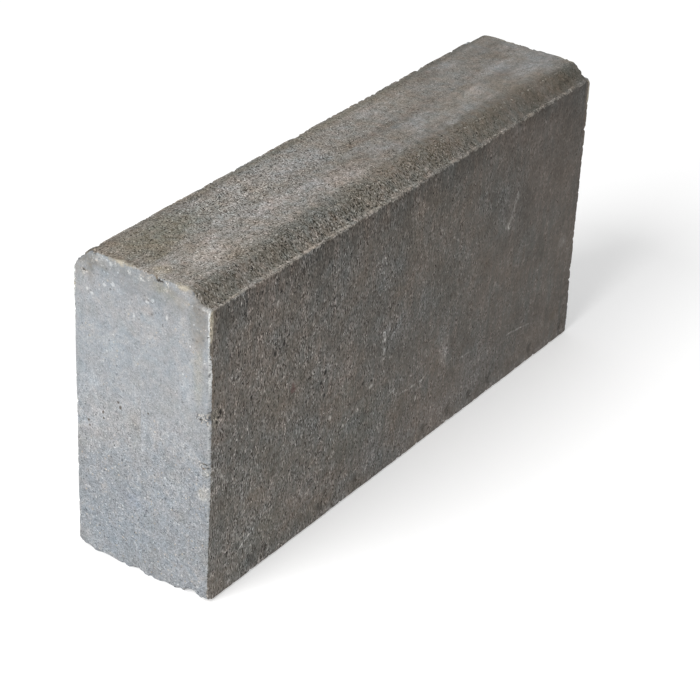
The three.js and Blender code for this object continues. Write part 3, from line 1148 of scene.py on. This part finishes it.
    earth = scaled(ARRIS_EARTH, times_plus(made_of.grain, 0.6, 0.86))
    colour = layered(
        mix(on_top, sides, top),
        (times(brown_edge, 0.6), earth),
        (times(beige_strip, 0.9), strip_tint),
        (lip, scaled(LIP_BEIGE_AND_HIGHLIGHT, lip_tone)),
        (on_end, end),
    )
    crumbs = scaled(ARRIS_BEIGE, times_plus(made_of.grain, 0.28, 0.98))
    # Painted highlight, in part: the white of the corner line and its cap.
    white = scaled(ARRIS_WHITE_AND_HIGHLIGHT, times_plus(made_of.grain, 0.45, 0.92))
    # Painted shade: the pebble's slot and the chip's crack are painted near-black.
    crack_shade = larger(slot, spots(place, CRACKS, made_of.wobble))
    colour = layered(
        vector_maths("MULTIPLY", colour, tint),
        (times(beige_line, 0.85), crumbs),
        (white_line_and_highlight, white),
        (broken, chips),
        (hollow, EARTH_BROWN),
        (crack_shade, HOLE_SHADE),
    )

    def by_face(side, top, end, chip):
        """A value for each face, blended where they meet."""
        value = blend(on_end, blend(on_top, side, top), end)
        return blend(broken, value, chip)

    sandy = blend(open_sand, 0.04 * MM, 0.12 * MM)
    lumpy = blend(open_sand, 0.03 * MM, 0.16 * MM)
    open_top = fade(smooth, 0, 1, 0.16 * MM, 0.09 * MM)
    bump_height = total(
        (made_of.relief, by_face(0.07 * MM, open_top, sandy, 0.25 * MM)),
        (made_of.lumps, by_face(0.015 * MM, 0.015 * MM, lumpy, 0.25 * MM)),
        (made_of.holes, by_face(-0.15 * MM, -0.28 * MM, -0.2 * MM, -0.25 * MM)),
    )
    rough = by_face(0.88, fade(smooth, 0, 1, 0.93, 0.8), blend(open_sand, 0.72, 0.9), 0.93)
    bump = add("ShaderNodeBump", {"Height": bump_height, "Distance": 1.0})
    tree.links.new(colour, shader.inputs["Base Color"])
    tree.links.new(rough, shader.inputs["Roughness"])
    tree.links.new(bump.outputs["Normal"], shader.inputs["Normal"])
    shader.inputs["Specular IOR Level"].default_value = 0.35
    return material


# ---- the studio

WHITE = (1, 1, 1, 1)
FLOOR_GLOW = 0.32
SKY_STRENGTH = 0.45
KEY_WATTS = 275
KEY_AIM = Vector((0, 0, 0.1))


def studio():
    bpy.ops.mesh.primitive_plane_add(size=40, location=(0, 0, 0))
    floor = bpy.context.object
    floor.name = "studio_floor"
    paper = bpy.data.materials.new("white_paper")
    paper.use_nodes = True
    shader = paper.node_tree.nodes["Principled BSDF"].inputs
    shader["Base Color"].default_value = (0.86, 0.86, 0.86, 1)
    shader["Roughness"].default_value = 1.0
    shader["Specular IOR Level"].default_value = 0.0
    shader["Emission Color"].default_value = WHITE
    shader["Emission Strength"].default_value = FLOOR_GLOW
    floor.data.materials.append(paper)

    world = bpy.data.worlds.new("soft_dome")
    bpy.context.scene.world = world
    world.use_nodes = True
    sky = world.node_tree.nodes["Background"].inputs
    sky["Color"].default_value = WHITE
    sky["Strength"].default_value = SKY_STRENGTH

    bpy.ops.object.light_add(type="AREA", location=(-4.2, 0.5, 3.6))
    key = bpy.context.object
    key.name = "left_softbox"
    key.data.shape = "SQUARE"
    key.data.size = 3.2
    key.data.energy = KEY_WATTS
    key.rotation_euler = (KEY_AIM - key.location).to_track_quat("-Z", "Y").to_euler()


def camera():
    forward, right = Vector(CAMERA_FORWARD), Vector(CAMERA_RIGHT)
    bpy.ops.object.camera_add(location=CAMERA_PLACE)
    eye = bpy.context.object
    eye.name = "three_quarter_camera"
    turn = Matrix((right, right.cross(forward), -forward)).transposed().to_4x4()
    eye.matrix_world = Matrix.Translation(CAMERA_PLACE) @ turn
    eye.data.lens = LENS
    eye.data.sensor_width = 36
    bpy.context.scene.camera = eye


stone = make_stone()
make_groups()
lay_stains(stone.data)
stone.data.materials.append(weathered_concrete())
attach(stone, "root")
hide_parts(NODE)
studio()
camera()
bpy.context.scene.view_settings.view_transform = "Standard"
